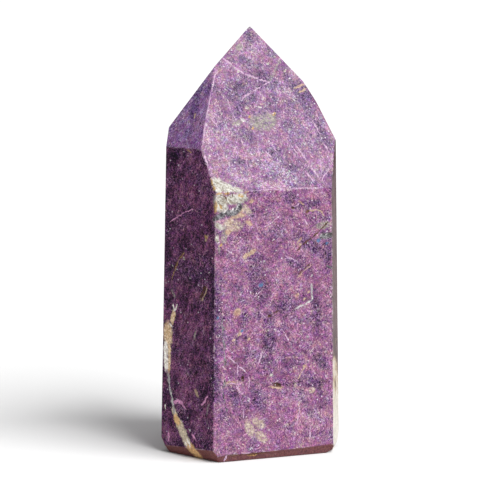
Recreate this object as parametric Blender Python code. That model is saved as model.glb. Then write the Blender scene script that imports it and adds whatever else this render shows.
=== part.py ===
"""A purpurite tower: one natural stone, cut and polished as a six-sided column with a point.

Lengths are in metres and +Z is up. The widest side in front faces -Y. The stone stands on the
surface z = 0, and the origin is there, under the middle of the stone's outline seen from above.

The stone is cut the way a lapidary cuts it. A rough block is ground flat by flat, and each flat is
one plane. A plane is given by its bearing, which is 0 degrees for the front, and grows
anticlockwise as seen from above, by its lean, and by its distance from the upright axis
that passes through the tip.
"""
import math

import bmesh
import bpy
from mathutils import Matrix, Vector

MM = 0.001

# Driving dimensions of the whole stone
HEIGHT = 90.0 * MM
ROUGH_BLOCK = 60.0 * MM
EDGE_ROUND = 0.2 * MM
EDGE_STEPS = 2
MERGE_REACH = 0.02 * MM
CUT_REACH = 0.0001 * MM

# The six sides: bearing in degrees, distance from the axis at the foot, inward lean in degrees
FRONT = (0.0, 15.5 * MM, 0.6)
RIGHT = (60.0, 19.55 * MM, 0.8)
BACK_RIGHT = (120.0, 10.2 * MM, 1.3)
BACK = (180.0, 14.7 * MM, 0.8)
BACK_LEFT = (240.0, 16.85 * MM, 1.2)
LEFT = (300.0, 19.4 * MM, 1.2)
SIDES = (FRONT, RIGHT, BACK_RIGHT, BACK, BACK_LEFT, LEFT)

# Flats of the point that meet at the tip: the side below each, and its upward tilt in degrees
TIP_FLATS = (
    (FRONT, 24.2),
    (BACK_RIGHT, 28.1),
    (BACK, 30.0),
    (BACK_LEFT, 36.4),
)

# Flats of the point that run out below the tip: side, upward tilt, height where they leave the side
SHOULDER_FLATS = (
    (LEFT, 27.2, 65.35 * MM),
    (RIGHT, 30.8, 66.25 * MM),
)

# Bevels round the foot: bearing, distance from the axis on the ground, undercut in degrees
FOOT_BEVELS = (
    (0.25, 15.05 * MM, 14.0),
    (60.0, 18.85 * MM, 24.0),
    (120.0, 7.3 * MM, 38.0),
    (180.0, 13.6 * MM, 28.0),
    (240.0, 15.03 * MM, 28.7),
    (302.8, 18.05 * MM, 30.5),
)

# A knock has flattened the foot's right front corner
FOOT_CHIP = (41.0, 19.0 * MM, 60.0)

# Natural pits that the polish left open. Each is on a side, at a distance across it from the axis
# and a height, with the half length, half width and half depth of the ball that hollows it, and the
# slope of its length in degrees. The ball's middle is lifted off the side by a share of its depth.
PITS = {
    "slot_low": (FRONT, 0.85 * MM, 15.75 * MM, 0.95 * MM, 0.42 * MM, 0.45 * MM, -8.0),
    "pit_low": (FRONT, -6.8 * MM, 17.8 * MM, 0.5 * MM, 0.32 * MM, 0.4 * MM, 80.0),
    "pit_middle": (FRONT, -0.8 * MM, 30.5 * MM, 0.55 * MM, 0.42 * MM, 0.45 * MM, 20.0),
    "notch_edge": (FRONT, 12.3 * MM, 46.85 * MM, 1.5 * MM, 0.6 * MM, 0.55 * MM, -4.0),
    "pit_high": (FRONT, 4.3 * MM, 53.0 * MM, 0.5 * MM, 0.3 * MM, 0.35 * MM, 0.0),
    "slot_left": (LEFT, 3.45 * MM, 35.8 * MM, 1.8 * MM, 0.5 * MM, 0.5 * MM, 62.0),
    "slot_back_left": (BACK_LEFT, -3.0 * MM, 24.0 * MM, 1.6 * MM, 0.5 * MM, 0.5 * MM, 24.0),
    "pit_back_left": (BACK_LEFT, 5.0 * MM, 51.0 * MM, 0.7 * MM, 0.45 * MM, 0.45 * MM, -35.0),
    "slot_back_right": (BACK_RIGHT, 2.5 * MM, 38.0 * MM, 1.4 * MM, 0.55 * MM, 0.5 * MM, 55.0),
    "pit_back": (BACK, 1.5 * MM, 17.0 * MM, 0.8 * MM, 0.5 * MM, 0.45 * MM, -15.0),
}
PIT_FINENESS = 2
PIT_LIFT = 0.2

STONE_COLOUR = (0.33, 0.19, 0.29, 1.0)
STONE_ROUGHNESS = 0.38


def clear_scene():
    """Remove every object that the file starts with."""
    for thing in list(bpy.data.objects):
        bpy.data.objects.remove(thing, do_unlink=True)


def new_collection(name):
    """Make a collection in the scene."""
    collection = bpy.data.collections.new(name)
    bpy.context.scene.collection.children.link(collection)
    return collection


def outward(bearing, tilt):
    """Unit vector that points out at a bearing, tilted up, with both angles in degrees."""
    turn = math.radians(bearing)
    rise = math.radians(tilt)
    level = math.cos(rise)
    return Vector((math.sin(turn) * level, -math.cos(turn) * level, math.sin(rise)))


def along(bearing):
    """Level unit vector that runs to the right across a side, for someone who faces it."""
    turn = math.radians(bearing)
    return Vector((math.cos(turn), math.sin(turn), 0.0))


def point_on_side(side, height, across=0.0):
    """Point of a side's plane at a height, at a distance across the side from the axis."""
    bearing, distance, lean = side
    inset = height * math.tan(math.radians(lean))
    place = outward(bearing, 0.0) * (distance - inset) + along(bearing) * across
    place.z = height
    return place


def grind(stone, point, normal):
    """Cut one flat: take off what lies outside the plane and close the stone again."""
    geometry = stone.verts[:] + stone.edges[:] + stone.faces[:]
    cut = bmesh.ops.bisect_plane(
        stone,
        geom=geometry,
        dist=CUT_REACH,
        plane_co=point,
        plane_no=normal,
        clear_outer=True,
    )
    rim = [part for part in cut["geom_cut"] if isinstance(part, bmesh.types.BMEdge)]
    if rim:
        bmesh.ops.edgeloop_fill(stone, edges=rim)


def cut_column(stone):
    """Grind the six tapering sides."""
    for side in SIDES:
        bearing, _, lean = side
        grind(stone, point_on_side(side, 0.0), outward(bearing, lean))


def cut_point(stone):
    """Grind the flats of the point."""
    tip = Vector((0.0, 0.0, HEIGHT))
    for side, tilt in TIP_FLATS:
        grind(stone, tip, outward(side[0], tilt))
    for side, tilt, shoulder in SHOULDER_FLATS:
        grind(stone, point_on_side(side, shoulder), outward(side[0], tilt))


def cut_under(stone, bearing, distance, undercut):
    """Cut one flat that leans in under the stone, from a distance that it keeps on the ground."""
    grind(stone, outward(bearing, 0.0) * distance, outward(bearing, -undercut))


def cut_foot(stone):
    """Grind the bevels round the foot."""
    for bevel in FOOT_BEVELS:
        cut_under(stone, *bevel)


def middle_of_outline(stone):
    """Middle of the stone's outline seen from above."""
    across = [vertex.co.x for vertex in stone.verts]
    deep = [vertex.co.y for vertex in stone.verts]
    return Vector(((min(across) + max(across)) / 2, (min(deep) + max(deep)) / 2, 0.0))


def soften_edges(stone):
    """Round the edges a little, as polishing does."""
    bmesh.ops.bevel(
        stone,
        geom=stone.edges[:],
        offset=EDGE_ROUND,
        offset_type="OFFSET",
        affect="EDGES",
        segments=EDGE_STEPS,
        profile=0.5,
        clamp_overlap=True,
        material=-1,
    )
    bmesh.ops.remove_doubles(stone, verts=stone.verts, dist=MERGE_REACH)


def make_stone(collection, material):
    """Cut the stone from its block, and return its object and the place of its axis."""
    stone = bmesh.new()
    bmesh.ops.create_cube(stone, size=1.0)
    bmesh.ops.scale(stone, vec=(ROUGH_BLOCK, ROUGH_BLOCK, HEIGHT), verts=stone.verts)
    bmesh.ops.translate(stone, vec=(0.0, 0.0, HEIGHT / 2), verts=stone.verts)
    cut_column(stone)
    cut_point(stone)
    cut_foot(stone)
    soften_edges(stone)
    cut_under(stone, *FOOT_CHIP)
    axis = -middle_of_outline(stone)
    bmesh.ops.translate(stone, vec=axis, verts=stone.verts)
    bmesh.ops.recalc_face_normals(stone, faces=stone.faces)

    mesh = bpy.data.meshes.new("purpurite_tower")
    stone.to_mesh(mesh)
    stone.free()
    mesh.materials.append(material)
    tower = bpy.data.objects.new("purpurite_tower", mesh)
    collection.objects.link(tower)
    return tower, axis


def make_pit_cutter(name, pit, axis, collection):
    """Make the squashed ball that hollows out one pit."""
    side, across, height, half_length, half_width, depth, slope = pit
    bearing, _, lean = side
    facing = outward(bearing, lean)
    right = along(bearing)
    up = facing.cross(right)
    frame = Matrix((right, up, facing)).transposed().to_4x4()
    spin = Matrix.Rotation(math.radians(slope), 4, "Z")
    size = Matrix.Diagonal((half_length, half_width, depth, 1.0))
    middle = point_on_side(side, height, across) + facing * (depth * PIT_LIFT) + axis
    place = Matrix.Translation(middle)

    ball = bmesh.new()
    bmesh.ops.create_icosphere(
        ball,
        subdivisions=PIT_FINENESS,
        radius=1.0,
        matrix=place @ frame @ spin @ size,
    )
    bmesh.ops.recalc_face_normals(ball, faces=ball.faces)
    mesh = bpy.data.meshes.new(name)
    ball.to_mesh(mesh)
    ball.free()
    cutter = bpy.data.objects.new(name, mesh)
    cutter.hide_render = True
    cutter.display_type = "WIRE"
    collection.objects.link(cutter)
    return cutter


def hollow_pits(tower, axis, collection):
    """Hollow out the natural pits."""
    for name, pit in PITS.items():
        hollow = tower.modifiers.new(name, "BOOLEAN")
        hollow.operation = "DIFFERENCE"
        hollow.solver = "EXACT"
        hollow.object = make_pit_cutter(name + "_cutter", pit, axis, collection)


def make_material():
    """Polished violet stone."""
    material = bpy.data.materials.new("polished purpurite")
    material.use_nodes = True
    shader = material.node_tree.nodes["Principled BSDF"]
    shader.inputs["Base Color"].default_value = STONE_COLOUR
    shader.inputs["Roughness"].default_value = STONE_ROUGHNESS
    shader.inputs["Metallic"].default_value = 0.0
    return material


def main():
    """Build the stone."""
    clear_scene()
    stones = new_collection("purpurite specimen")
    cutters = new_collection("cutters")
    tower, axis = make_stone(stones, make_material())
    hollow_pits(tower, axis, cutters)


main()
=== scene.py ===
# %% [markdown]
# # A polished purpurite tower
# The stone is one piece of natural purpurite, ground into a six-sided column with a point, then
# polished. We load its solid first. It fixes the size and place of everything that follows.

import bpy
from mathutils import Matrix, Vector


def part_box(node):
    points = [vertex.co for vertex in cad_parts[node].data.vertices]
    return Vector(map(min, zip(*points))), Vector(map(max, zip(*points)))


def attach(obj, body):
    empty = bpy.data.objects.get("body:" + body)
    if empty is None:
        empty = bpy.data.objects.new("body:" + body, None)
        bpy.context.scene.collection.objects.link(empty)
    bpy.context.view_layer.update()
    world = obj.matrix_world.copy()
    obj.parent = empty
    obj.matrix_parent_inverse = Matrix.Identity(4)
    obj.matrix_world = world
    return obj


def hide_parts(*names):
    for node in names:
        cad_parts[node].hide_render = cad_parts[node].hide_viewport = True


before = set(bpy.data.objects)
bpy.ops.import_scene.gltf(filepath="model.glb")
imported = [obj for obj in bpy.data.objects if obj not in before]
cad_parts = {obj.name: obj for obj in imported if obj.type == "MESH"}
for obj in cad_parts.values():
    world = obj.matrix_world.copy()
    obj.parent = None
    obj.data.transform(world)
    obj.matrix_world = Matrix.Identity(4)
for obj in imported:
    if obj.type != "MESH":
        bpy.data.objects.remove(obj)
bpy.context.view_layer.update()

# %% [markdown]
# ## Units
# A stone 90 mm tall is easiest to think about in millimetres, while Blender works in metres. The
# names below keep the two apart.

# %% Units
import math

import bmesh
import bpy
from mathutils import Matrix, Vector, noise
from mathutils.bvhtree import BVHTree

MM = 0.001
NODE = "purpurite_tower"
NODE_LOW, NODE_HIGH = (Vector(corner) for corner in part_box(NODE))
HEIGHT = NODE_HIGH.z
print("the stone stands", round(HEIGHT / MM, 1), "mm tall")

# %% [markdown]
# ## The camera
# The photograph looks down a little on the stone, from the left of its widest side. A long lens
# from 44 cm away gives the same gentle convergence of the upright edges. The place is given from
# the stone's own axis, which passes through the tip.

# %% Camera
PICTURE = 500
FOCAL_PIXELS = 2000.0
SENSOR = 36.0
CAMERA_TURN = math.radians(-18.77)
CAMERA_DIP = math.radians(9.3)
CAMERA_FROM_AXIS = Vector((-136.12, -400.75, 111.365)) * MM

tip = max((vertex.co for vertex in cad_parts[NODE].data.vertices), key=lambda place: place.z)
AXIS = Vector((tip.x, tip.y, 0.0))

camera_data = bpy.data.cameras.new("camera")
camera_data.sensor_width = SENSOR
camera_data.lens = SENSOR * FOCAL_PIXELS / PICTURE
camera = bpy.data.objects.new("camera", camera_data)
camera.location = AXIS + CAMERA_FROM_AXIS
camera.rotation_euler = (math.pi / 2 - CAMERA_DIP, 0.0, CAMERA_TURN)
bpy.context.scene.collection.objects.link(camera)
bpy.context.scene.camera = camera
CAMERA_AXES = camera.rotation_euler.to_matrix()
print("axis of the stone:", tuple(round(value / MM, 2) for value in AXIS), "mm")

# %% [markdown]
# ## The stone's surface
# The solid has the true flats, but each is only a few large faces. We work on a copy. Its loose
# triangles are merged and joined back into flats, and each flat gets a narrow border, so that its
# shading stays flat right up to the rounded edge.

# %% Copy the solid and mark its flats
MERGE = 0.001 * MM
BORDER = 0.05 * MM
SAME_PLANE = math.radians(0.3)
NARROWEST_FLAT = 0.15 * MM


def merged_copy(node):
    """The node's mesh as flats, with its loose triangles joined."""
    copy = bmesh.new()
    copy.from_mesh(node.data)
    bmesh.ops.remove_doubles(copy, verts=copy.verts, dist=MERGE)
    bmesh.ops.dissolve_limit(
        copy, angle_limit=SAME_PLANE, verts=copy.verts, edges=copy.edges
    )
    return copy


def number_flats(stone):
    """Give the faces of each ground flat its number, and return the flats' outward directions."""
    number = stone.faces.layers.int.new("flat")
    found = []
    for face in stone.faces:
        if face.calc_area() / face.calc_perimeter() < NARROWEST_FLAT:
            continue
        alike = [i for i, other in enumerate(found) if other.angle(face.normal) < SAME_PLANE]
        if not alike:
            alike = [len(found)]
            found.append(face.normal.copy())
        face[number] = alike[0] + 1
    return found


def faces_of(stone, index):
    """The faces of one flat."""
    number = stone.faces.layers.int["flat"]
    return [face for face in stone.faces if face[number] == index + 1]


stone = merged_copy(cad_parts[NODE])
flats = number_flats(stone)
for index in range(len(flats)):
    bmesh.ops.inset_region(
        stone, faces=faces_of(stone, index), thickness=BORDER, use_even_offset=True
    )
print(len(flats), "flats with a border")

# %% [markdown]
# A flat has no points inside its outline yet, so nothing on it could move. Upright planes slice
# each flat, and level ones then slice the whole stone, a cell apart. Slicing keeps every flat
# exactly flat, which a remesh would not. The underside needs no upright slices, as nobody sees it.

# %% Slice the flats into cells
CELL = 0.45 * MM
UNDERSIDE = -0.9
UP = Vector((0.0, 0.0, 1.0))


def cut(stone, faces, point, direction):
    """Cut faces where a plane crosses them, and keep both sides."""
    edges = {edge for face in faces for edge in face.edges}
    points = {vertex for face in faces for vertex in face.verts}
    bmesh.ops.bisect_plane(
        stone,
        geom=[*faces, *edges, *points],
        dist=MERGE,
        plane_co=point,
        plane_no=direction,
    )


def slice_flat(stone, index, outward):
    """Slice one flat upright, with planes one cell apart."""
    across = UP.cross(outward).normalized()
    reach = [vertex.co.dot(across) for face in faces_of(stone, index) for vertex in face.verts]
    for step in range(int((max(reach) - min(reach)) / CELL)):
        point = across * (min(reach) + CELL * (step + 0.5))
        cut(stone, faces_of(stone, index), point, across)


for index, outward in enumerate(flats):
    if outward.z > UNDERSIDE:
        slice_flat(stone, index, outward)
for step in range(1, int(HEIGHT / CELL)):
    cut(stone, stone.faces[:], UP * (step * CELL), UP)
print(len(stone.faces), "cells of", round(CELL / MM, 2), "mm")

# %% [markdown]
# Each flat has a tone of its own. Part of it is painted light: the front of the point is lighter
# and paler as a painted sheen, and the left side is darker, partly in its own tone and partly as
# painted shade. The tints of the two foot bevels go into their painted brown. A flat is found by the
# bearing and the tilt that it faces, in degrees. Its tone is a tint, and how much lighter its grains
# are, how strong their contrast is, how streaky it is, and how dull. The right side is a dull skin
# that was hardly polished; its painted colour comes further on.

# %% Tone of each flat
PLAIN = ((1.0, 1.0, 1.0), {})
FLAT_TONES = {
    # Painted sheen: the front of the point is lighter and paler.
    "front of the point": (0.0, 24.2, (0.96, 1.11, 1.07), {"lighter": 0.07, "contrast": -0.10}),
    # The left side's darker tone is partly painted shade.
    "left side": (300.0, 1.2, (0.95, 0.74, 0.89), {"lighter": -0.32, "contrast": 0.35, "streaks": 1.0}),
    "left of the point": (300.0, 27.2, (0.96, 1.06, 1.30), {"lighter": 0.035, "streaks": 0.5}),
    "right side": (60.0, 0.8, (0.95, 1.25, 0.98), {"lighter": -0.05, "dull": 1.0, "streaks": 1.0}),
    # The foot bevels' tints colour their painted reflected brown.
    "right foot bevel": (60.0, -24.0, (0.95, 1.25, 0.98), {"dull": 1.0}),
    "left foot bevel": (302.8, -30.5, (1.35, 1.20, 1.10), {}),
    "back left side": (240.0, 1.2, (1.00, 0.95, 1.00), {"lighter": -0.12, "contrast": 0.3}),
    "back side": (180.0, 0.8, (0.98, 0.98, 1.04), {"lighter": -0.04, "streaks": 0.3}),
    "back right side": (120.0, 1.3, (1.00, 1.00, 0.96), {"lighter": -0.06, "streaks": 0.5}),
}
SAME_FLAT = math.radians(2.0)


def direction(bearing, tilt):
    """Unit vector that points out at a bearing from the front, tilted up, both in degrees."""
    turn, rise = math.radians(bearing), math.radians(tilt)
    level = math.cos(rise)
    return Vector((math.sin(turn) * level, -math.cos(turn) * level, math.sin(rise)))


def tone_of(outward):
    """The tone of the flat that faces a direction."""
    for bearing, tilt, tint, values in FLAT_TONES.values():
        if direction(bearing, tilt).angle(outward) < SAME_FLAT:
            return tint, values
    return PLAIN


tones = [tone_of(outward) for outward in flats]
print(sum(tone is not PLAIN for tone in tones), "flats with a tone of their own")

# %% [markdown]
# Each point keeps what the colours need: the tone of its flat, whether that flat is one of the
# foot's bevels, and whether it lies on an edge, 1 there and 0 elsewhere, for wear and a painted
# highlight. A point that lies well below its flat is in a natural pit.

# %% Values kept on the stone's points
TONE_VALUES = ("lighter", "contrast", "streaks", "dull")
BEVEL_LEAN = -0.2
PIT_FROM = 0.14 * MM


def flat_offsets(stone):
    """How far each flat's plane is from the origin."""
    return [
        faces_of(stone, index)[0].verts[0].co.dot(outward) for index, outward in enumerate(flats)
    ]


def keep_values(stone):
    """Store what the colours need on each point, and tell whether it is in a pit or on an edge."""
    number = stone.faces.layers.int["flat"]
    layers = stone.verts.layers
    tone_layer = layers.float_color.new("tone")
    value_layers = {name: layers.float.new(name) for name in TONE_VALUES}
    foot_layer = layers.float.new("foot")
    wear_and_highlight_layer = layers.float.new("wear")
    planes = list(zip(flats, flat_offsets(stone)))
    marks = []
    for vertex in stone.verts:
        depths = [offset - vertex.co.dot(outward) for outward, offset in planes]
        depth = min(depths)
        flat = depths.index(depth)
        in_pit = depth > PIT_FROM
        on_edge = not in_pit and all(face[number] == 0 for face in vertex.link_faces)
        tint, values = tones[flat]
        vertex[tone_layer] = (*tint, 1.0)
        for name, layer in value_layers.items():
            vertex[layer] = values.get(name, 0.0)
        vertex[foot_layer] = float(flats[flat].z < BEVEL_LEAN)
        vertex[wear_and_highlight_layer] = float(on_edge)
        marks.append((in_pit, on_edge))
    return marks


marks = keep_values(stone)
print(sum(in_pit for in_pit, _ in marks), "points in pits")
print(sum(on_edge for _, on_edge in marks), "points on edges")

# %% [markdown]
# Hand polishing leaves the flats very slightly wavy, and the edges have tiny chips where grains
# broke out. The pits were never polished, so they are rough inside. All these are moves of the
# points that we just made, always inwards, so that the stone never grows past its solid.

# %% Wavy flats and chipped edges
WAVE_LENGTH = 9.0 * MM
WAVE_DEPTH = 0.03 * MM
CHIP_LENGTH = 0.8 * MM
CHIP_DEPTH = 0.16 * MM
CHIP_RARITY = 0.25
PIT_GRAIN = 0.5 * MM
PIT_ROUGHNESS = 0.12 * MM


def ripple(point, length):
    """A smooth random value from 0 to 1 that changes over a length."""
    return 0.5 + 0.5 * noise.noise(point / length)


def sink_points(stone, marks):
    """Move each point a little inwards, and return the longest move."""
    stone.normal_update()
    moves = []
    for vertex, (in_pit, on_edge) in zip(stone.verts, marks):
        if vertex.co.z < MERGE:
            continue
        sink = WAVE_DEPTH * ripple(vertex.co, WAVE_LENGTH)
        if in_pit:
            sink += PIT_ROUGHNESS * ripple(vertex.co, PIT_GRAIN)
        elif on_edge:
            sink += CHIP_DEPTH * max(0.0, noise.noise(vertex.co / CHIP_LENGTH) - CHIP_RARITY)
        moves.append((vertex, vertex.normal * sink))
    for vertex, move in moves:
        vertex.co -= move
    return max(move.length for _, move in moves)


deepest = sink_points(stone, marks)
print("deepest sunk point:", round(deepest / MM, 3), "mm")

# %% [markdown]
# The cells now become one mesh, the dressed stone, which takes the place of the solid. It is
# shaded smooth, apart from its sharpest edges. A search tree of its surface will tell us later
# what point of the stone lies behind a pixel.

# %% Make the stone's object
SHARP = math.radians(35.0)

stone_mesh = bpy.data.meshes.new("tower_stone")
stone.to_mesh(stone_mesh)
surface = BVHTree.FromBMesh(stone)
stone.free()
stone_mesh.shade_smooth()
stone_mesh.set_sharp_from_angle(angle=SHARP)
tower = bpy.data.objects.new("tower_stone", stone_mesh)
bpy.context.scene.collection.objects.link(tower)
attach(tower, "root")
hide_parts(NODE)
print(len(stone_mesh.vertices), "points")

# %% [markdown]
# ## Shader helper
# The stone's colours come from a lot of small sums. Written as nodes they are hard to read, so
# this class wraps a node's output and lets Python's own arithmetic add the Math nodes.

# %% Arithmetic on sockets
material = bpy.data.materials.new("polished purpurite")
material.use_nodes = True
tree = material.node_tree


class Field:
    """A value that varies over the stone: one output socket, with arithmetic."""

    def __init__(self, socket):
        self.socket = socket

    @classmethod
    def node(cls, kind, settings=None, sockets=None, out=0):
        """Add a node with its settings and socket values, and wrap one of its outputs."""
        made = tree.nodes.new(kind)
        for name, value in (settings or {}).items():
            if name == "stops":
                cls.set_stops(made.color_ramp, value)
            else:
                setattr(made, name, value)
        for name, value in (sockets or {}).items():
            if isinstance(value, Field):
                tree.links.new(value.socket, made.inputs[name])
            else:
                made.inputs[name].default_value = value
        return cls(made.outputs[out])

    @staticmethod
    def set_stops(ramp, stops):
        """Give a colour ramp its stops, each a place and a colour."""
        while len(ramp.elements) < len(stops):
            ramp.elements.new(1.0)
        for element, (place, colour) in zip(ramp.elements, stops):
            element.position = place
            element.color = (*colour, 1.0)

    def maths(self, operation, *others):
        """One Math node on this value and others."""
        values = dict(enumerate([self, *others]))
        return Field.node("ShaderNodeMath", {"operation": operation}, values)

    def __add__(self, other):
        return self.maths("ADD", other)

    def __sub__(self, other):
        return self.maths("SUBTRACT", other)

    def __mul__(self, other):
        return self.maths("MULTIPLY", other)

    def __rsub__(self, other):
        return (self * -1.0) + other

    __radd__ = __add__
    __rmul__ = __mul__

    def most(self, other):
        """The larger of two values."""
        return self.maths("MAXIMUM", other)

    def vector(self, operation, *others):
        """One Vector Math node on this vector and others."""
        values = dict(enumerate([self, *others]))
        return Field.node("ShaderNodeVectorMath", {"operation": operation}, values)

    def ramp(self, low, high, start=0.0, end=1.0):
        """Run smoothly from start to end as this value goes from low to high."""
        sockets = {0: self, 1: low, 2: high, 3: start, 4: end}
        return Field.node("ShaderNodeMapRange", {"interpolation_type": "SMOOTHSTEP"}, sockets)


print("arithmetic on sockets is ready")

# %% [markdown]
# Colours need Mix and Vector Math nodes, because a Math node would turn them grey. One function
# mixes two colours. Another tints a colour by a field, so that it drifts from hue to hue.

# %% Mix and shift colours
def opaque(colour):
    """A colour with the fourth value that a colour socket asks for."""
    return (*colour, 1.0)


def blend(below, above, share, way="MIX"):
    """Mix a colour over another by a share."""
    settings = {"data_type": "RGBA", "blend_type": way, "clamp_factor": True}
    return Field.node("ShaderNodeMix", settings, {0: share, 6: below, 7: above}, out=2)


def shift(colour, field, amount):
    """Multiply a colour by a tint that varies around white with a field around one half."""
    centre = [1 - value / 2 for value in amount]
    return colour.vector("MULTIPLY", field.vector("MULTIPLY_ADD", amount, centre))


def own_value(name, out="Fac"):
    """A value that was stored on the stone's points."""
    return Field.node("ShaderNodeAttribute", {"attribute_name": name}, out=out)


print("colours can be mixed and shifted")

# %% [markdown]
# ## The stone itself
# Up close purpurite is a felt of tiny grains. An image round the stone would stretch and show a
# seam. So the grains are noise in millimetres of the stone, which runs on round every edge. Soft
# clouds push a copy of the places about, so that no fibre comes out straight.

# %% Places in the stone
DRIFT = 1.2
DRIFT_CLOUDS = (0.5, 2.0, 0.6)


def noise_at(scale, detail=1.0, roughness=0.5, at=None, out=0):
    """Soft random clouds, with a number of them to the millimetre."""
    sockets = {"Vector": at or place, "Scale": scale, "Detail": detail, "Roughness": roughness}
    return Field.node("ShaderNodeTexNoise", {}, sockets, out)


def pushed(amount, clouds):
    """Places that clouds of noise push about by an amount, in millimetres."""
    push = noise_at(*clouds, out="Color").vector("SUBTRACT", (0.5, 0.5, 0.5))
    return push.vector("MULTIPLY_ADD", (amount, amount, amount), place)


metres = Field.node("ShaderNodeTexCoord", out="Object")
place = metres.vector("MULTIPLY", (1 / MM, 1 / MM, 1 / MM))
bent = pushed(DRIFT, DRIFT_CLOUDS)
print("places are bent by up to", DRIFT / 2, "mm")

# %% [markdown]
# The pink-lilac grains are fibres. Some are needles and hairs, in a few directions that hold for
# the whole stone. The rest is a fleece, whose fibres point another way in each small cell. Noise
# that is stretched a lot in one direction gives both.

# %% Needles and fleece
NEEDLE = (5.0, 0.18, 0.18)
NEEDLE_EDGE = (0.60, 0.72)
HAIR = (0.9, 0.11, 0.11)
HAIR_EDGE = (0.60, 0.74)
NEEDLE_PATCH = 0.25
NEEDLE_PATCH_EDGE = (0.40, 0.58)
NEEDLE_TURNS = (
    (0.0, 0.95, 0.1),
    (0.0, -0.6, -0.2),
    (0.3, 1.5, 0.6),
    (0.0, 0.3, 0.5),
    (0.2, -1.15, 0.9),
    (0.0, 0.75, -0.3),
)
WHOLE_TURN = (6.28, 6.28, 6.28)
SHORT_FLEECE = (1.6, (0.7, 0.17, 0.17))
LONG_FLEECE = (3.0, (1.2, 0.22, 0.22))


def shaped(texture, size, turn=(0.0, 0.0, 0.0), middle=(0.0, 0.0, 0.0)):
    """Stretch, turn and move a texture with its own mapping."""
    mapping = texture.socket.node.texture_mapping
    mapping.vector_type = "TEXTURE"
    mapping.scale = size
    mapping.rotation = turn
    mapping.translation = middle
    return texture


def needles(size, turn, edge):
    """Thin needles that lie one way, in patches."""
    needle = shaped(noise_at(1.0, 0.0, 0.5, bent), size, turn).ramp(*edge)
    patches = shaped(noise_at(NEEDLE_PATCH), (1.0, 1.0, 1.0), turn).ramp(*NEEDLE_PATCH_EDGE)
    return needle * patches


def fleece(cell_size, fibre):
    """Short fibres that point another way in each small cell of the stone."""
    cells = Field.node("ShaderNodeTexVoronoi", {}, {"Vector": bent, "Scale": 1 / cell_size}, "Color")
    turn = cells.vector("MULTIPLY", WHOLE_TURN)
    turned = Field.node(
        "ShaderNodeVectorRotate", {"rotation_type": "EULER_XYZ"}, {"Vector": bent, "Rotation": turn}
    )
    return shaped(noise_at(1.0, 1.0, 0.6, turned), fibre)


felt = needles(NEEDLE, NEEDLE_TURNS[0], NEEDLE_EDGE)
for turn in NEEDLE_TURNS[1:]:
    felt = felt.most(needles(NEEDLE, turn, NEEDLE_EDGE))
    felt = felt.most(needles(HAIR, turn, HAIR_EDGE))
wool = fleece(*SHORT_FLEECE) + fleece(*LONG_FLEECE)
print("needles in", len(NEEDLE_TURNS), "directions,", len(tree.nodes), "nodes")

# %% [markdown]
# Between the fibres lie blue-black grains, which crowd together in slate-coloured areas, and the
# whole stone has paler and darker clouds. Each is plain noise: how many clouds there are to the
# millimetre, how much finer detail they carry, and how rough that is.

# %% Grains, clouds and streaks
SLATE_EDGE = (0.48, 0.64)
SPECK_EDGE = (0.47, 0.34)
STREAK_SIZE = (0.9, 0.9, 5.0)
STREAK_TURN = (0.25, 0.35, 0.0)

cloud = noise_at(0.14, 2.0, 0.5)
patch = noise_at(0.6, 2.0, 0.6)
grain = noise_at(3.0, 1.0, 1.0)
slate = noise_at(0.28, 3.0, 0.7, bent).ramp(*SLATE_EDGE)
speck = noise_at(2.8, 1.0, 0.6, bent).ramp(*SPECK_EDGE) * (slate * 0.8 + 0.4)
streaks = shaped(noise_at(1.0, 2.0, 0.7, bent), STREAK_SIZE, STREAK_TURN)
print(len(tree.nodes), "nodes")

# %% [markdown]
# ## Places on the stone
# Zones, veins and flecks lie where the photograph shows them: we look from the camera through a
# pixel, and find the point of the stone behind it. On a hidden side we look straight at that side.

# %% From a pixel to the stone
FAR_OUT = 80 * MM


def on_stone(spot):
    """The point of the stone at a spot, and the way out of the stone there.

    A spot that the photograph shows is a pixel of it. Any other has the bearing of its side, and
    in millimetres its distance across the side and its height.
    """
    if len(spot) == 2:
        start = camera.location
        across, down = spot
        ray = CAMERA_AXES @ Vector((across - PICTURE / 2, PICTURE / 2 - down, -FOCAL_PIXELS))
    else:
        bearing, across, height = spot
        ray = -direction(bearing, 0.0)
        start = AXIS + (UP.cross(-ray) * across + UP * height) * MM - ray * FAR_OUT
    point, outward, _, _ = surface.ray_cast(start, ray.normalized())
    if point is None:
        raise ValueError(f"no stone at {spot}")
    return point, outward


middle, _ = on_stone((PICTURE / 2, PICTURE / 2))
print("the picture's middle shows a point", round(middle.z / MM, 1), "mm up")

# %% [markdown]
# A zone or a vein is a chain of long lumps inside the stone, one from each spot to the next. A lump
# is a spherical gradient that its own mapping has moved, turned and stretched, and it needs no
# image. Noise pushes its places about, which makes its outline ragged.

# %% Lumps inside the stone
PIXEL = CAMERA_FROM_AXIS.length / FOCAL_PIXELS
SOFT_SKIN = 1.55
VEIN_DEPTH = 0.35 * MM
OVERLAP = 0.6
RAGGED = 0.9
RAGGED_CLOUDS = (1.3, 2.0, 0.75)


def lump(middle, along, outward, radii):
    """How deep a place is inside a lump: 1 in its middle, and 0 on its skin and outside."""
    across = outward.cross(along).normalized()
    axes = Matrix((along.normalized(), across, along.cross(across).normalized())).transposed()
    ball = Field.node(
        "ShaderNodeTexGradient", {"gradient_type": "SPHERICAL"}, {"Vector": ragged}, "Fac"
    )
    return shaped(ball, [radius / MM for radius in radii], axes.to_euler(), middle / MM)


def stretch(head, tail, half_width):
    """One stretch of a vein between two spots."""
    start, way_out = on_stone(head)
    end, other_way_out = on_stone(tail)
    outward = (way_out + other_way_out).normalized()
    along = end - start
    if along.length < PIXEL:
        along = outward.orthogonal() * PIXEL
    half = half_width * PIXEL * SOFT_SKIN
    radii = (along.length * OVERLAP + half, half, half + VEIN_DEPTH)
    return lump((start + end) / 2, along, outward, radii)


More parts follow.
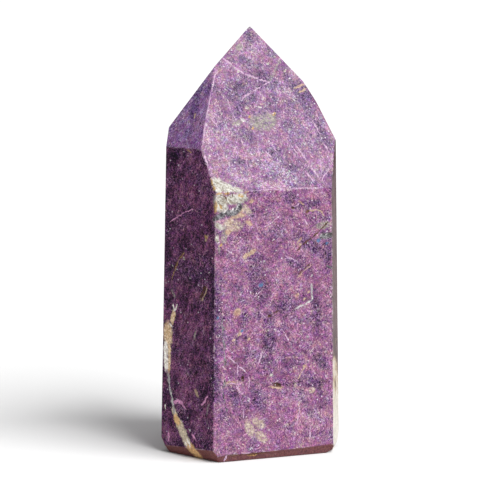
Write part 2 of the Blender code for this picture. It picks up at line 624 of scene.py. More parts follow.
def inside(veins):
    """How deep a place is in a set of veins: each has a half width and the spots it runs through."""
    deepest = None
    for half_width, *trail in veins.values():
        for head, tail in zip(trail, trail[1:] or trail):
            found = stretch(head, tail, half_width)
            deepest = deepest.most(found) if deepest else found
    return deepest


ragged = pushed(RAGGED, RAGGED_CLOUDS)
print("a pixel is", round(PIXEL / MM, 3), "mm wide on the stone")

# %% [markdown]
# The dark grains crowd together more in some places than in others. Such a zone is a wide, soft
# lump that only makes the grains in it a little darker or lighter.

# %% Dark and light zones
ZONE_EDGE = (0.0, 0.6)
DARK_ZONES = {
    "point_tip": (5.0, (249, 34), (250, 40)),
    "point_high": (4.0, (242, 59), (247, 62)),
    "point_high_right": (6.0, (262, 76), (269, 82)),
    "point_right_edge": (4.0, (285, 76), (300, 96), (314, 120), (330, 145)),
    "point_right": (5.5, (304, 95), (308, 99)),
    "point_middle": (6.0, (244, 133), (250, 137)),
    "point_left": (3.5, (235, 91), (240, 84)),
    "point_left_low": (3.5, (242, 100), (238, 113)),
    "point_low": (3.5, (232, 161), (242, 162)),
    "point_low_right": (4.0, (287, 166), (296, 169)),
    "front_high_right": (3.5, (296, 206), (322, 202)),
    "front_high": (8.0, (254, 262), (263, 296)),
    "front_middle": (7.0, (256, 276), (262, 298)),
    "front_left": (4.5, (218, 322), (222, 343)),
    "front_right": (5.0, (318, 356), (325, 366)),
    "front_low": (6.0, (255, 392), (262, 408)),
    "left_high": (4.5, (169, 154), (190, 154)),
    "left_middle": (10.0, (172, 268), (186, 274), (204, 276)),
    "left_edge_low": (4.0, (168, 205), (167, 250)),
    "front_left_edge": (5.0, (214, 275), (214, 345), (214, 405)),
    "front_right_edge": (5.0, (327, 235), (327, 262)),
    "front_centre": (6.0, (268, 316), (270, 352)),
    "front_low_right": (5.0, (296, 382), (322, 382)),
    "point_left_middle": (7.0, (232, 98), (254, 98)),
    "point_far_left": (4.5, (198, 92), (195, 104), (193, 117)),
    "front_upper_right": (6.0, (296, 236), (322, 252)),
    "front_left_spot": (5.0, (246, 250), (250, 258)),
    "front_foot_spot": (5.0, (232, 390), (236, 402)),
    "front_right_spot": (5.0, (262, 358), (272, 362)),
    "front_mid_right": (5.0, (316, 302), (317, 326)),
    "front_edge_high": (5.0, (218, 278), (219, 286)),
    "front_edge_low": (5.0, (218, 347), (218, 355)),
    "front_top_middle": (5.0, (286, 196), (292, 198)),
    "point_centre_right": (6.0, (287, 124), (291, 130)),
    "point_high_edge": (4.0, (300, 84), (304, 90)),
    "point_low_middle": (5.0, (272, 152), (278, 158)),
    "front_centre_high": (5.0, (274, 305), (292, 309)),
}
LIGHT_ZONES = {
    "point_high": (8.0, (272, 84), (290, 92)),
    "point_low": (9.0, (258, 158), (284, 176)),
    "point_right": (6.0, (300, 150), (308, 156)),
    "front_high": (9.0, (232, 238), (238, 258)),
    "front_top": (6.0, (306, 196), (320, 197)),
    "front_right": (7.0, (296, 336), (312, 342)),
    "front_low": (7.0, (244, 388), (247, 396)),
    "front_foot": (8.0, (234, 434), (246, 434)),
    "front_foot_right": (9.0, (296, 405), (318, 420)),
    "left_low": (8.0, (184, 340), (186, 380), (184, 415)),
    "front_by_patch": (7.0, (240, 210), (252, 226)),
    "point_foot": (7.0, (240, 176), (262, 182)),
    "front_mid": (6.0, (256, 330), (280, 330)),
    "front_mid_left": (6.0, (230, 264), (236, 272)),
    "front_high_middle": (3.5, (277, 278), (277, 298)),
    "point_low_right": (6.0, (268, 182), (284, 184)),
    "front_upper_right_light": (5.0, (290, 210), (316, 212)),
}

dark_zone = inside(DARK_ZONES).ramp(*ZONE_EDGE)
light_zone = inside(LIGHT_ZONES).ramp(*ZONE_EDGE)
print(len(DARK_ZONES), "dark zones and", len(LIGHT_ZONES), "light ones")

# %% [markdown]
# All textures now add up to one value, how light the stone is at a point. Each is first centred on
# its own mean, so that its strength changes the contrast and not the tone as a whole.

# %% Lightness of the ground stone
GRAIN = 0.8
FLEECE = 1.5
PATCH = 0.45
CLOUD = 0.3
STREAK = 0.9
SPECK = 0.20
SPECK_MEAN = 0.15
FELT = 0.42
FELT_MEAN = 0.1
SLATE_DEPTH = 0.07
SLATE_MEAN = 0.3
ZONE_DEPTH = 0.12
MIDDLE_TONE = 0.375

slate = slate.most(dark_zone)
lightness = (grain - 0.5) * GRAIN + (wool - 1.0) * (FLEECE / 2)
lightness = lightness * (slate * 0.5 + 0.75) + (patch - 0.5) * PATCH
lightness = lightness + (felt - FELT_MEAN) * FELT - (speck - SPECK_MEAN) * SPECK
lightness = lightness * (own_value("contrast") + 1.0) + (cloud - 0.5) * CLOUD
lightness = lightness + (streaks - 0.5) * own_value("streaks") * STREAK
lightness = lightness + own_value("lighter") - (slate - SLATE_MEAN) * SLATE_DEPTH + MIDDLE_TONE
lightness = lightness + (light_zone - dark_zone) * ZONE_DEPTH
print(len(tree.nodes), "nodes")

# %% [markdown]
# A colour ramp turns lightness into the colours of purpurite, from blue-black through dark violet
# to a dusty pink. With the ramp alone, grains of one lightness would all have one hue. So two fine
# noises push the hue of each grain.

# %% Colours of the ground stone
GROUND_STOPS = [
    (0.00, (0.008, 0.004, 0.012)),
    (0.22, (0.070, 0.033, 0.074)),
    (0.40, (0.135, 0.063, 0.128)),
    (0.50, (0.172, 0.083, 0.153)),
    (0.60, (0.212, 0.108, 0.178)),
    (0.70, (0.255, 0.142, 0.210)),
    (0.80, (0.320, 0.200, 0.258)),
    (1.00, (0.500, 0.380, 0.430)),
]
BLUSH = (0.6, -2.5, 0.9)
RUDDY = (0.9, 0.3, -1.2)
MAGENTA = (1.06, 0.90, 1.02)
SLATE = (0.85, 1.02, 1.0)

ground = Field.node("ShaderNodeValToRGB", {"stops": GROUND_STOPS}, {"Fac": lightness})
ground = blend(ground, opaque(MAGENTA), 1.0, "MULTIPLY")
ground = shift(ground, noise_at(1.3, 4.0, 0.95), BLUSH)
ground = shift(ground, noise_at(0.9, 4.0, 0.95, bent), RUDDY)
ground = blend(ground, opaque(SLATE), slate, "MULTIPLY")
ground = blend(ground, own_value("tone", "Color"), 1.0, "MULTIPLY")
print(len(GROUND_STOPS), "colours on the ramp")

# %% [markdown]
# The bevels round the foot face down, and their brown is painted reflected light: it stands for
# warm light thrown up from a brown surface below. The grains mix a dark and a lighter brown, and a
# little of the violet shows through.

# %% The painted reflected brown of the foot
FOOT_REFLECTED_BROWN = (0.145, 0.055, 0.045)
FOOT_REFLECTED_DARK = (0.075, 0.030, 0.030)
FOOT_EDGE = (0.3, 0.7)
FOOT_SHARE = 0.9

# Painted reflected light: a warm brown laid on the bevels that face down.
foot_reflected_colour = blend(opaque(FOOT_REFLECTED_DARK), opaque(FOOT_REFLECTED_BROWN), grain.ramp(*FOOT_EDGE))
foot_reflected_colour = blend(foot_reflected_colour, own_value("tone", "Color"), 1.0, "MULTIPLY")
stone_colour = blend(ground, foot_reflected_colour, own_value("foot") * FOOT_SHARE)
print(len(tree.nodes), "nodes")

# %% [markdown]
# ## Inclusions
# Other minerals run through the stone as veins, flecks and patches. Tables hold them, one for each
# mineral, because all of one mineral share their colours. Each inclusion has a half width in pixels
# and the spots that it runs through. The pale veins and needles are the finest of them; their table
# also holds three pale lines that are painted highlights along the edges of the point.

# %% Pale veins, needles and painted edge highlights
PALE_VEINS_AND_HIGHLIGHTS = {
    "back_needle_1": (0.8, (180, -10, 52), (180, -4, 58)),
    "back_needle_2": (0.8, (180, 2, 12), (180, 8, 17)),
    "back_needle_3": (0.8, (180, 4, 66), (180, 0, 78)),
    "back_left_needle_1": (0.8, (240, -7, 22), (240, 0, 28), (240, 4, 36)),
    "back_left_needle_2": (0.8, (240, -3, 66), (240, 2, 74)),
    "back_right_needle_1": (0.8, (120, -5, 56), (120, 2, 62)),
    "back_right_needle_2": (0.8, (120, -5, 12), (120, 0, 5)),
    "apex_vein": (0.75, (222.5, 57.5), (232, 65.5), (245, 74), (259, 79.5), (268, 81)),
    "apex_branch": (0.5, (272, 80), (262, 86), (252, 92), (241, 100)),
    "left_hair": (0.45, (208, 115), (219, 128)),
    "middle_hair": (0.3, (239, 135), (246, 150), (247.5, 172)),
    "long_scratch": (0.6, (295.7, 144.7), (308, 163), (321, 181)),
    "corner_scratch": (0.6, (322.4, 141.9), (328.7, 151.7)),
    "cross_scratch": (0.45, (321, 181), (329.4, 168.6)),
    "short_scratch": (0.5, (307, 172.8), (314, 182.6)),
    "low_needle_1": (0.6, (227, 356), (237, 364), (248, 374)),
    "low_needle_2": (0.5, (238, 364), (237.5, 375)),
    "low_needle_3": (0.5, (227, 383.5), (235.8, 383.5)),
    "low_needle_4": (0.55, (235.8, 384.6), (241, 394.3)),
    "low_needle_5": (0.5, (249.3, 376), (249.3, 390)),
    "low_needle_6": (0.5, (243.4, 408.4), (243.4, 420.3)),
    "low_right_needle": (0.6, (311, 425), (309, 440)),
    "bevel_vein": (0.8, (226.4, 456), (224.4, 461)),
    "upper_needle": (0.5, (257, 236), (259.5, 242)),
    "right_needle_1": (0.5, (292, 207), (300, 203)),
    "right_needle_2": (0.45, (303, 218), (309, 226)),
    "point_scratch_1": (0.6, (265, 150.8), (271.5, 157.5)),
    "point_scratch_2": (0.6, (248.2, 93.2), (241.6, 99.8)),
    "point_scratch_3": (0.35, (289, 142), (300, 158)),
    "point_scratch_4": (0.35, (268, 139), (279, 155)),
    "point_scratch_5": (0.6, (312, 120), (321, 136)),
    "point_scratch_6": (0.35, (225, 95), (232, 112), (236, 120)),
    "front_needle_1": (0.35, (262, 228), (272, 222), (281, 214)),
    "front_needle_2": (0.4, (285, 255), (298, 262)),
    "front_needle_3": (0.35, (252, 300), (262, 290)),
    "front_needle_4": (0.4, (283, 330), (291, 345)),
    "front_needle_5": (0.6, (262, 352), (258, 366)),
    "front_needle_6": (0.6, (300, 405), (297, 424)),
    # Painted highlights along the edges of the point, in the pale veins' colour.
    "ridge_left_highlight": (0.6, (216.4, 68), (211, 94), (206, 120), (202.5, 146)),
    "ridge_low_highlight": (0.35, (250, 191), (285, 189), (324, 187)),
    "ridge_side_highlight": (0.6, (204, 152), (208, 168)),
}
print(len(PALE_VEINS_AND_HIGHLIGHTS), "pale veins and needles")

# %% [markdown]
# Pink fragments are splinters of a fresh, bright purpurite. They lie on the darker left side.

# %% Pink fragments
PINK_FRAGMENTS = {
    "left_high": (1.5, (174.5, 402.5), (178, 400.5), (181.5, 403)),
    "left_tail": (0.8, (182, 405), (186, 409)),
    "left_right": (0.9, (207.5, 396), (205, 401), (201.5, 405)),
    "left_mark": (0.9, (168.4, 432), (168.6, 441)),
    "left_streak": (0.8, (192, 434), (196, 440.5)),
    "left_vein": (0.5, (169.5, 222.2), (178.2, 216.7), (184.7, 212.4), (193.4, 209.1)),
}
print(len(PINK_FRAGMENTS), "pink fragments")

# %% [markdown]
# Cream patches are the largest inclusions, a chalky mineral that filled gaps in the stone. Some
# are lacy: the violet stone shows through their holes.

# %% Cream and lacy patches
CREAM_PATCHES = {
    "back_vein": (4.4, (180, -7, 8), (180, -6.2, 13), (180, -4, 18), (180, -1.5, 21.5), (180, 1, 25)),
    "back_left_patch": (9.0, (240, 3, 55), (240, 5, 60)),
    "back_left_dots": (4.0, (240, -5, 12), (240, -2, 14)),
    "back_right_patch": (7.0, (120, -3, 20), (120, 1, 27)),
    "back_right_dot": (4.0, (120, 5, 50)),
    "back_point_patch": (5.0, (180, -2, 72), (180, 1, 75)),
    "shoulder_top": (4.2, (216, 182), (220, 186), (229, 188.5)),
    "shoulder_mid": (2.2, (229, 189), (241, 190.5)),
    "shoulder_front": (5.5, (220, 199), (222, 207)),
    "shoulder_tail": (4.0, (228, 200), (237, 199), (243, 197)),
    "below_streak": (2.4, (217, 225), (221, 228)),
    "edge_pale": (1.6, (217, 237), (217.5, 242)),
    "slot_fleck": (1.0, (271, 375)),
    "left_fleck_1": (0.9, (184, 258.5)),
    "left_fleck_2": (0.8, (172.8, 265.5)),
    "high_fleck_1": (1.1, (268, 63.5)),
    "high_fleck_2": (1.0, (285, 71)),
    "high_fleck_3": (0.9, (238.4, 71.8)),
    "shoulder_corner": (2.0, (216, 190), (222, 191)),
    "moss_cream_1": (0.8, (246, 107.5), (248, 108.5)),
    "moss_cream_2": (0.8, (259, 106.5), (261, 107)),
    "moss_cream_3": (0.9, (237, 123.5), (238.5, 124)),
    "back_vein_high": (3.6, (180, 1, 25), (180, 1.6, 30), (180, 3.4, 35), (180, 4.6, 41), (180, 7.5, 46)),
}
LACY_PATCHES = {
    "low_patch_1": (3.4, (248, 424), (251, 433)),
    "low_patch_2": (3.4, (255, 421), (262, 425)),
    "low_patch_3": (3.4, (258, 434), (265, 440)),
    "low_right_1": (2.5, (312, 390)),
    "low_right_2": (1.4, (296, 385)),
    "by_shoulder_1": (4.5, (228, 224), (238, 226)),
    "by_shoulder_2": (3.0, (245, 207), (248, 212)),
}
print(len(CREAM_PATCHES), "cream patches and", len(LACY_PATCHES), "lacy ones")

# %% [markdown]
# A bright vein runs down the left side to the foot. It is white inside, golden at its rim and
# duller near the foot, so it takes four tables. Where it crosses the foot's bevel, its gold is
# painted warm reflected light, like the bevel's brown.

# %% The vein on the left side
LEFT_VEIN = {
    "fork_1": (0.7, (173.4, 304.5), (174.5, 311)),
    "fork_2": (0.6, (177.3, 304.5), (175, 311)),
    "white": (2.5, (165.6, 343), (165.8, 355), (166.2, 369)),
    "crumb": (0.8, (169.5, 324), (171.5, 326)),
    "edge_spark": (0.8, (165.5, 405), (165.5, 408)),
    "foot_stroke_1": (1.3, (187.6, 440.0), (190.0, 446.0)),
    "foot_stroke_2": (0.8, (185.0, 441.5), (187.2, 446.0)),
}
LEFT_GOLD = {
    "neck": (2.2, (174, 311.5), (172, 322)),
    "top": (5.0, (167.8, 327), (168, 341)),
    "edge": (1.8, (169.3, 343), (169.3, 357), (168.6, 371)),
}
FOOT_VEIN = {
    "head": (2.2, (173.4, 409.5), (175.0, 414), (177.3, 420)),
    "middle": (3.9, (178.0, 421.5), (181.5, 429), (184.3, 436), (188.3, 444.5)),
}
FOOT_VEIN_GOLD = {
    "blob": (3.0, (175.8, 417.5), (177.8, 422.5)),
    # On the bevel the vein's gold is painted warm reflected light.
    "bevel": (4.6, (190.3, 447.8), (194.3, 451.7), (198.5, 456)),
}
print(len(LEFT_VEIN) + len(LEFT_GOLD) + len(FOOT_VEIN) + len(FOOT_VEIN_GOLD), "parts of the vein")

# %% [markdown]
# Iron stains the stone golden, mostly along the rims of the cream patches. Peach flecks are paler
# and rounder, and one with a single spot is a dot.

# %% Golden veins and peach flecks
GOLDEN_VEINS = {
    "back_vein_edge": (1.9, (180, -9, 8), (180, -7.8, 14), (180, -6, 18), (180, -3, 23)),
    "back_vein_foot": (2.4, (180, -7, 3), (180, -6.5, 8)),
    "back_left_edge": (2.4, (240, 1, 53), (240, 5, 57), (240, 8, 62)),
    "back_right_edge": (2.4, (120, -5, 18), (120, -1, 22), (120, 4, 27), (120, 6, 33)),
    "shoulder_edge": (1.0, (211.3, 180), (213, 186), (214.5, 190)),
    "shoulder_line": (0.9, (216, 194), (222, 193.7)),
    "left_arc": (0.6, (186.9, 149.5), (191.2, 153.3)),
    "yellow_fleck": (0.9, (221, 245)),
    "orange_dot_1": (0.9, (249.3, 117)),
    "orange_dot_2": (1.0, (252.7, 128)),
    "bevel_stain": (0.9, (248, 455), (257, 454.5)),
    "shoulder_gold": (1.5, (215.5, 203), (215.2, 213)),
    "left_fleck_gold": (1.2, (205.5, 236), (206.5, 239)),
    "left_line_gold": (0.45, (184.5, 251.6), (178.5, 261), (174.5, 271), (171.5, 280)),
    "orange_dot_3": (1.2, (273.7, 114.2)),
    "shoulder_line_2": (0.8, (225, 193.6), (229, 193)),
    "shoulder_line_3": (1.2, (239.5, 195.5), (243, 196)),
    "shoulder_line_4": (0.8, (245, 192.5), (248, 192)),
    "shoulder_glow": (1.1, (220, 205), (221.5, 209)),
    "back_vein_edge_high": (
        1.7, (180, -0.5, 26), (180, -0.2, 31), (180, 1.6, 36), (180, 2.8, 42), (180, 5.6, 48)
    ),
}
PEACH_FLECKS = {
    "back_fleck_1": (3.0, (180, 6, 60), (180, 8, 62)),
    "back_fleck_2": (2.5, (180, -8, 40), (180, -6, 39)),
    "back_left_fleck_1": (3.0, (240, -4, 36), (240, -1, 38)),
    "back_left_fleck_2": (2.5, (240, 6, 28)),
    "back_right_fleck_1": (2.5, (120, -4, 44), (120, -1, 46)),
    "back_right_fleck_2": (2.5, (120, 2, 8), (120, 5, 9)),
    "back_point_fleck": (2.5, (240, 0, 74), (240, 1, 77)),
    "by_shoulder_1": (1.5, (242, 209), (240, 213)),
    "by_shoulder_2": (1.8, (244, 215), (238, 216), (233, 217)),
    "by_shoulder_3": (2.4, (231, 220), (229, 223.5)),
    "by_shoulder_4": (2.6, (228.5, 231.5)),
    "middle_fleck": (1.8, (244.5, 257), (249, 254), (254.5, 250.8)),
    "high_right_line": (0.6, (308, 211), (316, 210), (321, 211), (324, 216)),
    "crack_fleck_1": (0.9, (298, 243), (301, 238)),
    "crack_line_1": (0.5, (313, 264), (303, 272), (297, 278)),
    "right_spot_1": (1.2, (297.5, 295)),
    "right_spot_2": (1.0, (309, 292)),
    "right_spot_3": (0.9, (304.5, 299)),
    "left_mid_spot": (1.1, (235.8, 312)),
    "middle_spot_1": (1.1, (234, 340)),
    "middle_spot_2": (1.1, (249, 339)),
    "low_spot": (1.3, (305, 366)),
    "low_line": (0.5, (305, 366), (301, 373), (298, 379)),
    "slot_rim": (1.0, (270, 386.5), (277, 388), (283, 387)),
    "left_slot_rim": (0.9, (207.3, 288), (203.5, 297), (201, 301)),
    "left_upper": (1.2, (207.5, 236.2), (205.3, 240.6)),
    "left_low_fleck": (1.5, (195.2, 390), (197.8, 396)),
    "high_streak_1": (1.1, (294, 88.6), (303.5, 84.4)),
    "high_streak_2": (1.0, (298.6, 92.8), (306, 88.6)),
    "top_left_fleck": (1.0, (195, 114), (194.5, 117)),
    "whitish_tan": (1.8, (247, 222), (251, 224)),
    "tan_dot": (1.6, (251.5, 201.5)),
    "tan_low": (1.5, (239.6, 334.6)),
    "low_soft": (3.0, (237.4, 312.3)),
    "crack_fleck_2": (0.9, (300, 244.7)),
    "cream_pink": (0.7, (299, 200.7), (303.3, 204)),
    "low_line_2": (0.6, (224.5, 383.8), (230.7, 381.5), (235.7, 382.6)),
}
print(len(GOLDEN_VEINS), "golden veins and", len(PEACH_FLECKS), "peach flecks")

# %% [markdown]
# Cracks have filled with brown iron or with a dark grey mineral. The pits in the solid are dark
# inside too, so some of these lie on the same spots as the pits.

# %% Cracks, pits and slate streaks
BROWN_CRACKS = {
    "right_crack": (0.7, (328.5, 221.5), (320, 230), (312, 238), (302, 245), (297, 251)),
    "right_pit_1": (1.0, (292.5, 208)),
    "right_pit_2": (1.4, (307.5, 211.5)),
    "right_hair": (0.5, (311, 262), (303, 270), (298, 274)),
    "middle_pit": (1.3, (269.4, 316.3)),
    "middle_line": (0.5, (273, 313), (280, 310)),
    "low_pit": (1.4, (242.3, 377), (242.3, 379.5)),
    "low_slot": (1.7, (273.5, 384.5), (280.5, 385.5)),
    "left_slot": (1.2, (205.8, 286), (203, 292), (200.2, 299)),
    "left_line": (0.6, (182.5, 252.5), (178, 260), (173.9, 269.8)),
    "bevel_edge": (0.8, (225, 455.5), (245, 454.5), (270, 452.5)),
    "shoulder_stroke_1": (0.5, (227, 192), (228.5, 195.5)),
    "shoulder_stroke_2": (0.5, (232, 192.5), (232.6, 197.5)),
    "shoulder_stroke_3": (0.5, (224, 195), (226.5, 201)),
    "shoulder_stroke_4": (0.4, (216, 200), (220, 202.5)),
}
SLATE_STREAKS = {
    "back_streak": (4.0, (180, 3, 24), (180, 8, 30), (180, 11, 33)),
    "back_left_streak": (4.0, (240, -8, 48), (240, -2, 50), (240, 2, 54)),
    "back_right_streak": (3.0, (120, 3, 34), (120, 5, 40), (120, 4, 45)),
    "shoulder_streak": (2.2, (214.5, 219.5), (219, 217), (225, 213.5)),
    "shoulder_streak_end": (3.0, (227, 213.5), (236, 212), (240, 206)),
    "right_notch": (2.6, (321.5, 236.5), (327, 235), (332, 234.5)),
    "right_notch_low": (1.0, (327, 266), (332, 268)),
    "long_crack_1": (0.6, (222, 316), (223, 336), (225, 352), (224.5, 367)),
    "long_crack_2": (0.6, (225.5, 376), (223, 390), (225.5, 406), (228, 414)),
}
print(len(BROWN_CRACKS), "brown cracks and", len(SLATE_STREAKS), "slate streaks")

# %% [markdown]
# The last minerals are a grey-green one that spreads like moss, silvery crystals and blue grains.

# %% Moss, silver and blue
MOSS_PATCHES = {
    "big_patch": (6.5, (257, 122), (264, 124), (271, 119)),
    "apex_bend": (0.8, (268, 81), (272, 78.5), (274.5, 72), (277, 65), (281, 61)),
    "edge_moss": (1.2, (219, 246), (219.5, 253)),
    "left_moss_1": (1.2, (172, 290), (175, 298)),
    "left_moss_2": (1.0, (196, 330), (194, 340)),
    "streak_down": (2.4, (226, 226), (225, 233), (223.5, 242)),
    "grey_by_vein": (1.5, (167.8, 373), (168.6, 382)),
    "shoulder_grey": (2.4, (238, 202), (246, 199)),
    "right_grey": (3.0, (318, 226), (328, 224)),
    "left_green": (0.8, (206.5, 415), (208.7, 404)),
    "high_left_cluster": (2.5, (238, 48), (241, 46)),
    "big_patch_left": (2.0, (234, 124), (241, 122)),
}
SILVER_STREAKS = {
    "silver_streak": (0.9, (311.5, 284), (312, 292), (312, 300)),
    "silver_branch": (0.8, (311.5, 300), (305, 304), (295.5, 308.5)),
    "silver_dot": (0.6, (311.5, 276)),
    "notch_spark": (0.8, (326.5, 234)),
    "pale_blue_patch": (1.2, (241.5, 119), (245, 121.5)),
    "streak_crystal_1": (0.7, (223, 213), (227, 209.5)),
    "streak_crystal_2": (0.7, (231, 212), (234, 208)),
    "streak_crystal_3": (0.6, (236, 210), (239, 205)),
    "edge_spark": (0.8, (222, 113.5)),
    "left_spark": (0.8, (189.5, 430)),
    "dot_1": (0.4, (266, 210)),
    "dot_2": (0.5, (273.7, 239.5)),
    "dot_3": (0.4, (275.7, 250.7)),
    "dot_4": (0.45, (264, 261.5)),
    "left_vein_tail": (1.1, (168.8, 374), (169.2, 385), (171.7, 397), (173.4, 408), (174.5, 413)),
}
BLUE_SPOTS = {
    "notch_blue": (1.6, (318.5, 240.3)),
    "notch_blue_2": (0.9, (327, 243)),
    "middle_blue": (1.5, (260.8, 285)),
    "edge_blue": (1.0, (217.8, 318)),
    "low_blue": (0.9, (242, 331)),
}
print(len(MOSS_PATCHES), "moss,", len(SILVER_STREAKS), "silver,", len(BLUE_SPOTS), "blue")

# %% [markdown]
# No mineral has a flat colour, so each gets two, which coarse strokes mix. A row holds a table, its
# two colours, how strongly it covers the stone, and whether it is lacy. Later rows lie on top.

# %% Colours of the inclusions
KINDS = [
    (PALE_VEINS_AND_HIGHLIGHTS, (0.46, 0.33, 0.43), (0.36, 0.22, 0.34), 0.95, False),
    (PINK_FRAGMENTS, (0.72, 0.34, 0.56), (0.48, 0.20, 0.38), 0.9, False),
    (MOSS_PATCHES, (0.31, 0.29, 0.24), (0.12, 0.11, 0.12), 0.95, True),
    (PEACH_FLECKS, (0.43, 0.33, 0.23), (0.30, 0.17, 0.13), 0.9, False),
    (CREAM_PATCHES, (0.49, 0.48, 0.44), (0.21, 0.18, 0.14), 1.0, False),
    (LACY_PATCHES, (0.46, 0.39, 0.32), (0.26, 0.18, 0.15), 1.0, True),
    (LEFT_GOLD, (0.76, 0.60, 0.42), (0.48, 0.28, 0.13), 1.0, False),
    (FOOT_VEIN, (0.68, 0.58, 0.44), (0.42, 0.34, 0.25), 1.0, False),
    (FOOT_VEIN_GOLD, (0.76, 0.48, 0.22), (0.52, 0.30, 0.13), 0.9, False),
    (LEFT_VEIN, (1.00, 0.96, 0.92), (0.60, 0.52, 0.45), 1.0, False),
    (GOLDEN_VEINS, (0.42, 0.27, 0.10), (0.22, 0.12, 0.05), 0.9, False),
    (SLATE_STREAKS, (0.035, 0.035, 0.038), (0.24, 0.24, 0.25), 0.95, False),
    (BROWN_CRACKS, (0.055, 0.025, 0.018), (0.12, 0.06, 0.04), 0.95, False),
    (SILVER_STREAKS, (0.52, 0.50, 0.49), (0.26, 0.25, 0.26), 0.95, False),
    (BLUE_SPOTS, (0.05, 0.14, 0.27), (0.09, 0.11, 0.20), 0.9, False),
]
print(sum(len(veins) for veins, *_ in KINDS), "inclusions of", len(KINDS), "kinds")

# %% [markdown]
# An inclusion covers the stone where a point is deep enough in one of its lumps. Noise is added
# to the depth near a lump's skin, because a broken outline looks more like crystal.

# %% Lay the inclusions over the stone
SKIN_OUT = 0.02
SKIN_IN = 0.50
NEAR_SKIN = 0.2
BROKEN = 0.7
STROKE_SIZE = (1.6, 0.35, 0.45)
STROKE_TURN = (0.3, 0.8, 0.0)
STROKE_EDGE = (0.36, 0.60)
LACE_EDGE = (0.38, 0.54)
LACE_HOLES = 0.28
LACE_DEPTH = 0.7
MOTTLE_GRAIN = (1.6, 1.6, 1.6)

strokes = shaped(noise_at(1.0, 3.0, 0.75, bent), STROKE_SIZE, STROKE_TURN)
mottle = strokes.ramp(*STROKE_EDGE)
broken = (noise_at(2.2, 3.0, 0.9) - 0.5) * BROKEN
lace = noise_at(1.8, 2.0, 0.7, bent).ramp(*LACE_EDGE) * LACE_DEPTH + LACE_HOLES
for veins, colour, other_colour, strength, lacy in KINDS:
    kind_colour = shift(blend(opaque(other_colour), opaque(colour), mottle), grain, MOTTLE_GRAIN)
    depth = inside(veins)
    share = (depth + broken * depth.ramp(0.0, NEAR_SKIN)).ramp(SKIN_OUT, SKIN_IN) * strength
    if lacy:
        share = share * lace
    stone_colour = blend(stone_colour, kind_colour, share)
print(len(tree.nodes), "nodes")

# %% [markdown]
# ## Finishes
# Here and there a grain gets a painted glint: a tiny white spot in the base colour. A Voronoi
# texture scatters points through the stone, and what lies close to one of them becomes such a spot.

# %% Painted glints
GLITTER_CELL = 1.5
GLITTER_SIZE = (0.13, 0.05)
GLITTER_WHITE = (0.60, 0.56, 0.60)
GLITTER_SHARE = 0.9

glint_spots = {"Vector": place, "Scale": 1 / GLITTER_CELL}
glitter = Field.node("ShaderNodeTexVoronoi", {}, glint_spots, "Distance").ramp(*GLITTER_SIZE)
glitter = glitter * (GLITTER_SHARE - own_value("foot"))
# Painted glints: white spots laid into the base colour.
stone_colour = blend(stone_colour, opaque(GLITTER_WHITE), glitter)
print("a crystal every", GLITTER_CELL, "mm")

# %% [markdown]
# The right side isn't violet: it is painted in bands, and their browns are a painted reflection of
# brown surroundings, which the side catches at a glancing angle. The bands run cream at the foot,
# then a slate line, grey-brown above, and dark brown under the shoulder. Random clouds push the
# bands up and down, so that none is straight.

# %% Painted reflection bands on the right side
REFLECTION_BAND_STOPS = [
    (0.00, (0.52, 0.50, 0.45)),
    (0.15, (0.50, 0.47, 0.41)),
    (0.20, (0.36, 0.29, 0.21)),
    (0.24, (0.10, 0.08, 0.08)),
    (0.30, (0.14, 0.11, 0.11)),
    (0.60, (0.12, 0.09, 0.09)),
    (0.70, (0.055, 0.035, 0.033)),
    (1.00, (0.10, 0.07, 0.08)),
]
REFLECTION_BAND_WANDER = 0.45
REFLECTION_BAND_GRAIN = (1.6, 1.6, 1.6)
REFLECTION_BAND_SHARE = 0.9

up = Field.node("ShaderNodeSeparateXYZ", {}, {0: place}, "Z")
band = up * (MM / HEIGHT) + (noise_at(0.2, 5.0, 0.75) - 0.5) * REFLECTION_BAND_WANDER
reflection_bands = Field.node("ShaderNodeValToRGB", {"stops": REFLECTION_BAND_STOPS}, {"Fac": band})
reflection_bands = shift(reflection_bands, streaks * 0.5 + grain * 0.5, REFLECTION_BAND_GRAIN)
# Painted reflection: the bands take the place of the violet on the dull right side.
stone_colour = blend(stone_colour, reflection_bands, own_value("dull") * REFLECTION_BAND_SHARE)
print(len(REFLECTION_BAND_STOPS), "colours on the rind's ramp")

# %% [markdown]
# The edges are painted paler, partly as wear and partly as a painted highlight where the rounded
# edges catch the light: handling wears an edge first, and worn stone looks paler. The value that we
# kept on the points says where an edge is. Noise leaves parts of every edge fresh.

# %% Wear and painted highlights on the edges
WORN_AND_HIGHLIGHT = (0.50, 0.42, 0.48)
WEAR_AND_HIGHLIGHT_EDGE = (0.48, 0.68)
WEAR_AND_HIGHLIGHT_STRENGTH = 0.65

wear = own_value("wear") * noise_at(0.7, 3.0, 0.8).ramp(*WEAR_AND_HIGHLIGHT_EDGE)
# Wear and painted highlight: the edges are mixed towards a pale lilac.
stone_colour = blend(stone_colour, opaque(WORN_AND_HIGHLIGHT), wear * WEAR_AND_HIGHLIGHT_STRENGTH)
print(len(tree.nodes), "nodes")

# %% [markdown]
# Polished stone has a soft shine that changes a little from patch to patch. The painted glints are
# shinier and worn edges duller. The grains stand out by far less than a cell, so a bump shows them.
# The right side was never polished, and a fully dull shader takes over there.

# %% Assemble the material
POLISH_SHINE = 0.06
ROUGHNESS = 0.38
ROUGHNESS_SPREAD = 0.5
GLITTER_ROUGHNESS = -0.2
WEAR_ROUGHNESS = 0.3
RELIEF_DEPTH = 0.02 * MM
RELIEF_STRENGTH = 0.3

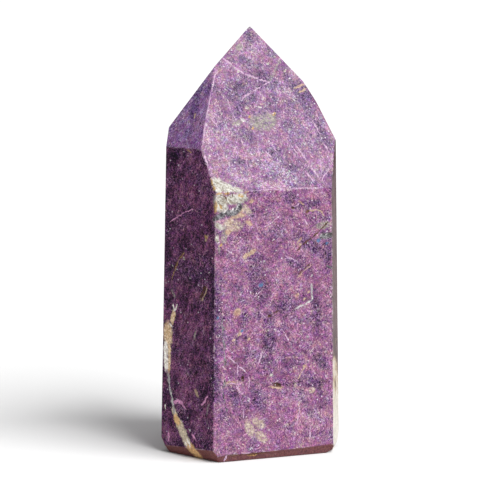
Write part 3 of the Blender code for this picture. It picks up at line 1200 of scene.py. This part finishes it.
polish = tree.nodes["Principled BSDF"]
polish.inputs["Specular IOR Level"].default_value = POLISH_SHINE
roughness = (patch - 0.5) * ROUGHNESS_SPREAD + glitter * GLITTER_ROUGHNESS
roughness = roughness + wear * WEAR_ROUGHNESS + ROUGHNESS
relief = {"Height": lightness, "Strength": RELIEF_STRENGTH, "Distance": RELIEF_DEPTH}
bump = Field.node("ShaderNodeBump", {}, relief)
tree.links.new(roughness.socket, polish.inputs["Roughness"])
tree.links.new(bump.socket, polish.inputs["Normal"])
dull = Field.node("ShaderNodeBsdfPrincipled", {}, {"Specular IOR Level": 0.0, "Roughness": 1.0})
for shader in (polish, dull.socket.node):
    tree.links.new(stone_colour.socket, shader.inputs["Base Color"])
skin = Field.node(
    "ShaderNodeMixShader", {}, {0: own_value("dull"), 1: Field(polish.outputs[0]), 2: dull}
)
tree.links.new(skin.socket, tree.nodes["Material Output"].inputs["Surface"])
stone_mesh.materials.append(material)
print(len(tree.nodes), "nodes in all")

# %% [markdown]
# ## Floor and light
# The stone was photographed on white, lit from the right front by a large soft light. The white
# floor throws a good part of it back, which is what lights the shaded left side.

# %% Floor
FLOOR_SIZE = 12.0
FLOOR_WHITE = 0.74
FLOOR_GAP = 0.02 * MM

floor_shape = bmesh.new()
bmesh.ops.create_grid(floor_shape, x_segments=1, y_segments=1, size=FLOOR_SIZE / 2)
floor_mesh = bpy.data.meshes.new("floor")
floor_shape.to_mesh(floor_mesh)
floor_shape.free()
floor = bpy.data.objects.new("floor", floor_mesh)
floor.location.z = -FLOOR_GAP
bpy.context.scene.collection.objects.link(floor)

floor_material = bpy.data.materials.new("white floor")
floor_material.use_nodes = True
paint = floor_material.node_tree.nodes["Principled BSDF"]
paint.inputs["Base Color"].default_value = (FLOOR_WHITE, FLOOR_WHITE, FLOOR_WHITE, 1.0)
paint.inputs["Roughness"].default_value = 1.0
paint.inputs["Specular IOR Level"].default_value = 0.0
floor_mesh.materials.append(floor_material)
print("floor", FLOOR_SIZE, "m wide")

# %% [markdown]
# A very wide sun stands for the large soft light, and a weak one above lifts the slopes of the
# point. A sun lights the stone evenly from foot to tip, which a lamp close by would not.

# %% Lights
KEY_BEARING = math.radians(35.0)
KEY_HEIGHT = math.radians(40.0)
KEY_WIDTH = math.radians(50.0)
KEY_STRENGTH = 5.0
TOP_STRENGTH = 0.8
SKY_STRENGTH = 0.2


def add_sun(name, bearing, height, width, strength):
    """A soft distant light from a bearing and a height above the floor."""
    data = bpy.data.lights.new(name, "SUN")
    data.energy = strength
    data.angle = width
    light = bpy.data.objects.new(name, data)
    light.rotation_euler = (math.pi / 2 - height, 0.0, bearing)
    bpy.context.scene.collection.objects.link(light)
    return light


add_sun("key light", KEY_BEARING, KEY_HEIGHT, KEY_WIDTH, KEY_STRENGTH)
add_sun("top light", 0.0, math.pi / 2, KEY_WIDTH, TOP_STRENGTH)

world = bpy.data.worlds.new("studio")
world.use_nodes = True
sky = world.node_tree.nodes["Background"]
sky.inputs["Color"].default_value = (1.0, 1.0, 1.0, 1.0)
sky.inputs["Strength"].default_value = SKY_STRENGTH
bpy.context.scene.world = world
bpy.context.scene.view_settings.view_transform = "Standard"
